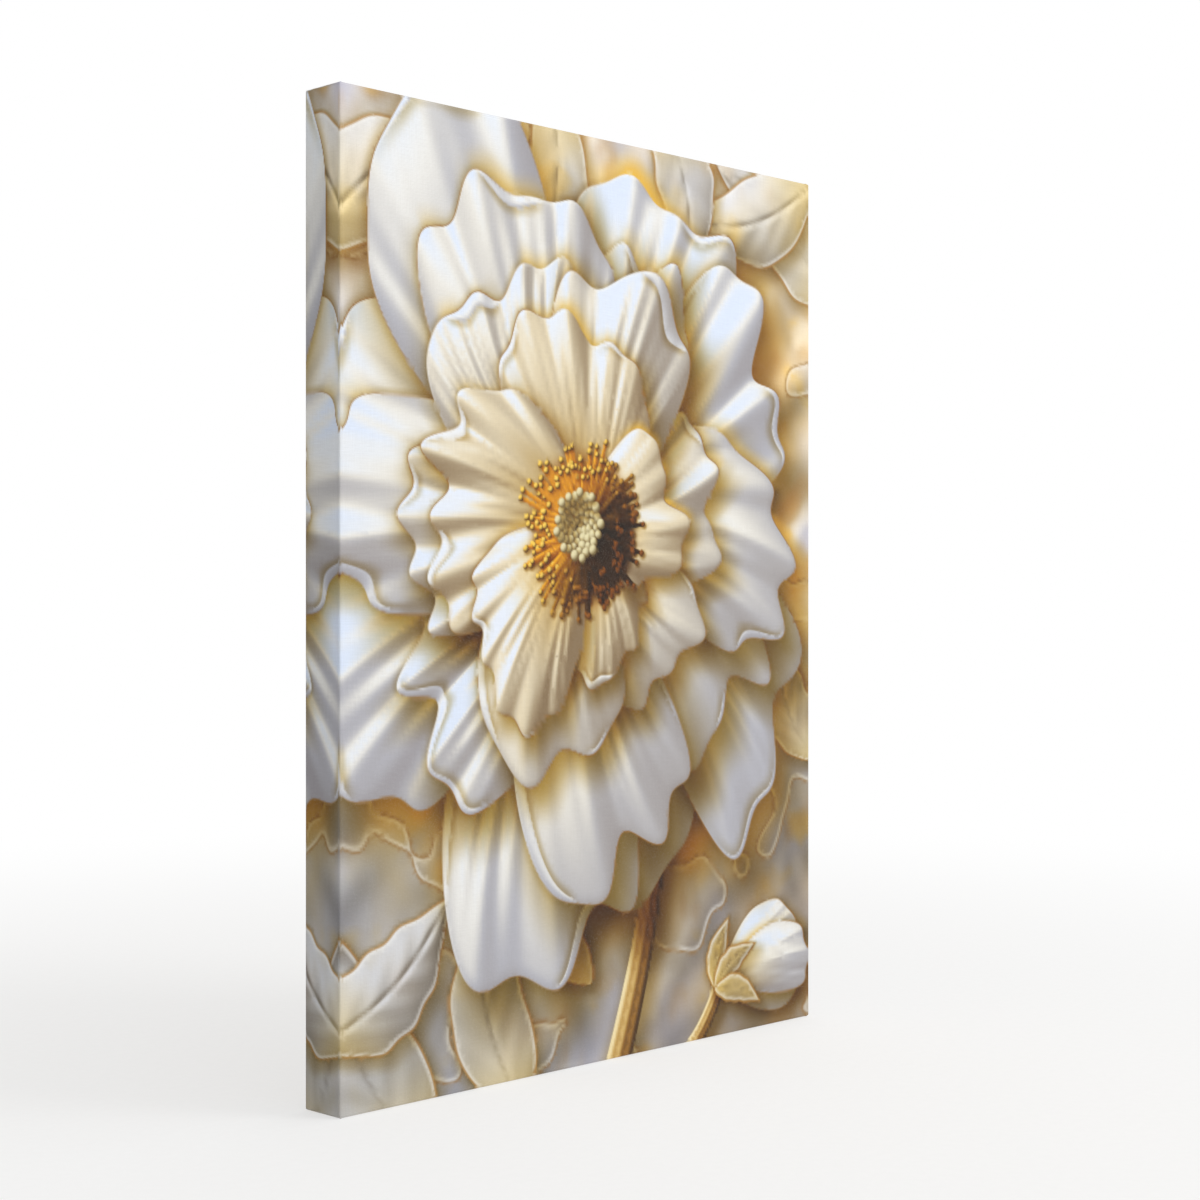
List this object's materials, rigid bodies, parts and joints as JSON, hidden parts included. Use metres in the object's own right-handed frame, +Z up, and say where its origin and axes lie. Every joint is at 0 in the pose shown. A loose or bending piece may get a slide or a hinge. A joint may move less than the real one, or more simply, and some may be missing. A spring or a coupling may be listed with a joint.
{
  "type": "stretched canvas",
  "caption": "Upright printed canvas stretched over a deep mitred pine frame with wooden corner keys, stapled behind, with a sawtooth hanger.",
  "frame": {"origin": "middle of the bottom of the whole box, on the surface that the picture stands on", "axes": "+X to the right seen from the front, -Y out of the printed front, +Y out of the back, +Z up"},
  "size_m": [0.5, 0.0402, 0.7],
  "materials": {
    "printed_canvas": "matt print on woven cotton canvas, raw cloth on the inside and behind",
    "pine": "planed, unfinished pine",
    "beech": "sawn, unfinished beech",
    "staple_steel": "galvanised wire",
    "zinc_plate": "zinc plated pressed steel",
    "nail_brass": "bright brass plated"
  },
  "bodies": {
    "frame": {"canvas": "printed_canvas", "stretcher_bar_top": "pine", "stretcher_bar_bottom": "pine", "stretcher_bar_left": "pine", "stretcher_bar_right": "pine", "sawtooth_hanger": "zinc_plate", "hanger_nail_left": "nail_brass", "hanger_nail_right": "nail_brass", "staple_bottom_01": "staple_steel", "staple_bottom_02": "staple_steel", "staple_bottom_03": "staple_steel", "staple_bottom_04": "staple_steel", "staple_bottom_05": "staple_steel", "staple_bottom_06": "staple_steel", "staple_bottom_07": "staple_steel", "staple_bottom_08": "staple_steel", "staple_top_01": "staple_steel", "staple_top_02": "staple_steel", "staple_top_03": "staple_steel", "staple_top_04": "staple_steel", "staple_top_05": "staple_steel", "staple_top_06": "staple_steel", "staple_top_07": "staple_steel", "staple_top_08": "staple_steel", "staple_left_01": "staple_steel", "staple_left_02": "staple_steel", "staple_left_03": "staple_steel", "staple_left_04": "staple_steel", "staple_left_05": "staple_steel", "staple_left_06": "staple_steel", "staple_left_07": "staple_steel", "staple_left_08": "staple_steel", "staple_left_09": "staple_steel", "staple_left_10": "staple_steel", "staple_left_11": "staple_steel", "staple_left_12": "staple_steel", "staple_right_01": "staple_steel", "staple_right_02": "staple_steel", "staple_right_03": "staple_steel", "staple_right_04": "staple_steel", "staple_right_05": "staple_steel", "staple_right_06": "staple_steel", "staple_right_07": "staple_steel", "staple_right_08": "staple_steel", "staple_right_09": "staple_steel", "staple_right_10": "staple_steel", "staple_right_11": "staple_steel", "staple_right_12": "staple_steel"},
    "key_bl_bottom": {"key_bottom_left_along_bottom": "beech"},
    "key_bl_left": {"key_bottom_left_along_left": "beech"},
    "key_br_bottom": {"key_bottom_right_along_bottom": "beech"},
    "key_br_right": {"key_bottom_right_along_right": "beech"},
    "key_tl_top": {"key_top_left_along_top": "beech"},
    "key_tl_left": {"key_top_left_along_left": "beech"},
    "key_tr_top": {"key_top_right_along_top": "beech"},
    "key_tr_right": {"key_top_right_along_right": "beech"}
  },
  "joints": [
    {"name": "key_bl_bottom_slide", "type": "slide", "parent": "frame", "child": "key_bl_bottom", "axis": [1, 0, 0], "range_m": [0, 0.028]},
    {"name": "key_bl_left_slide", "type": "slide", "parent": "frame", "child": "key_bl_left", "axis": [0, 0, 1], "range_m": [0, 0.028]},
    {"name": "key_br_bottom_slide", "type": "slide", "parent": "frame", "child": "key_br_bottom", "axis": [-1, 0, 0], "range_m": [0, 0.028]},
    {"name": "key_br_right_slide", "type": "slide", "parent": "frame", "child": "key_br_right", "axis": [0, 0, 1], "range_m": [0, 0.028]},
    {"name": "key_tl_top_slide", "type": "slide", "parent": "frame", "child": "key_tl_top", "axis": [1, 0, 0], "range_m": [0, 0.028]},
    {"name": "key_tl_left_slide", "type": "slide", "parent": "frame", "child": "key_tl_left", "axis": [0, 0, -1], "range_m": [0, 0.028]},
    {"name": "key_tr_top_slide", "type": "slide", "parent": "frame", "child": "key_tr_top", "axis": [-1, 0, 0], "range_m": [0, 0.028]},
    {"name": "key_tr_right_slide", "type": "slide", "parent": "frame", "child": "key_tr_right", "axis": [0, 0, -1], "range_m": [0, 0.028]}
  ]
}
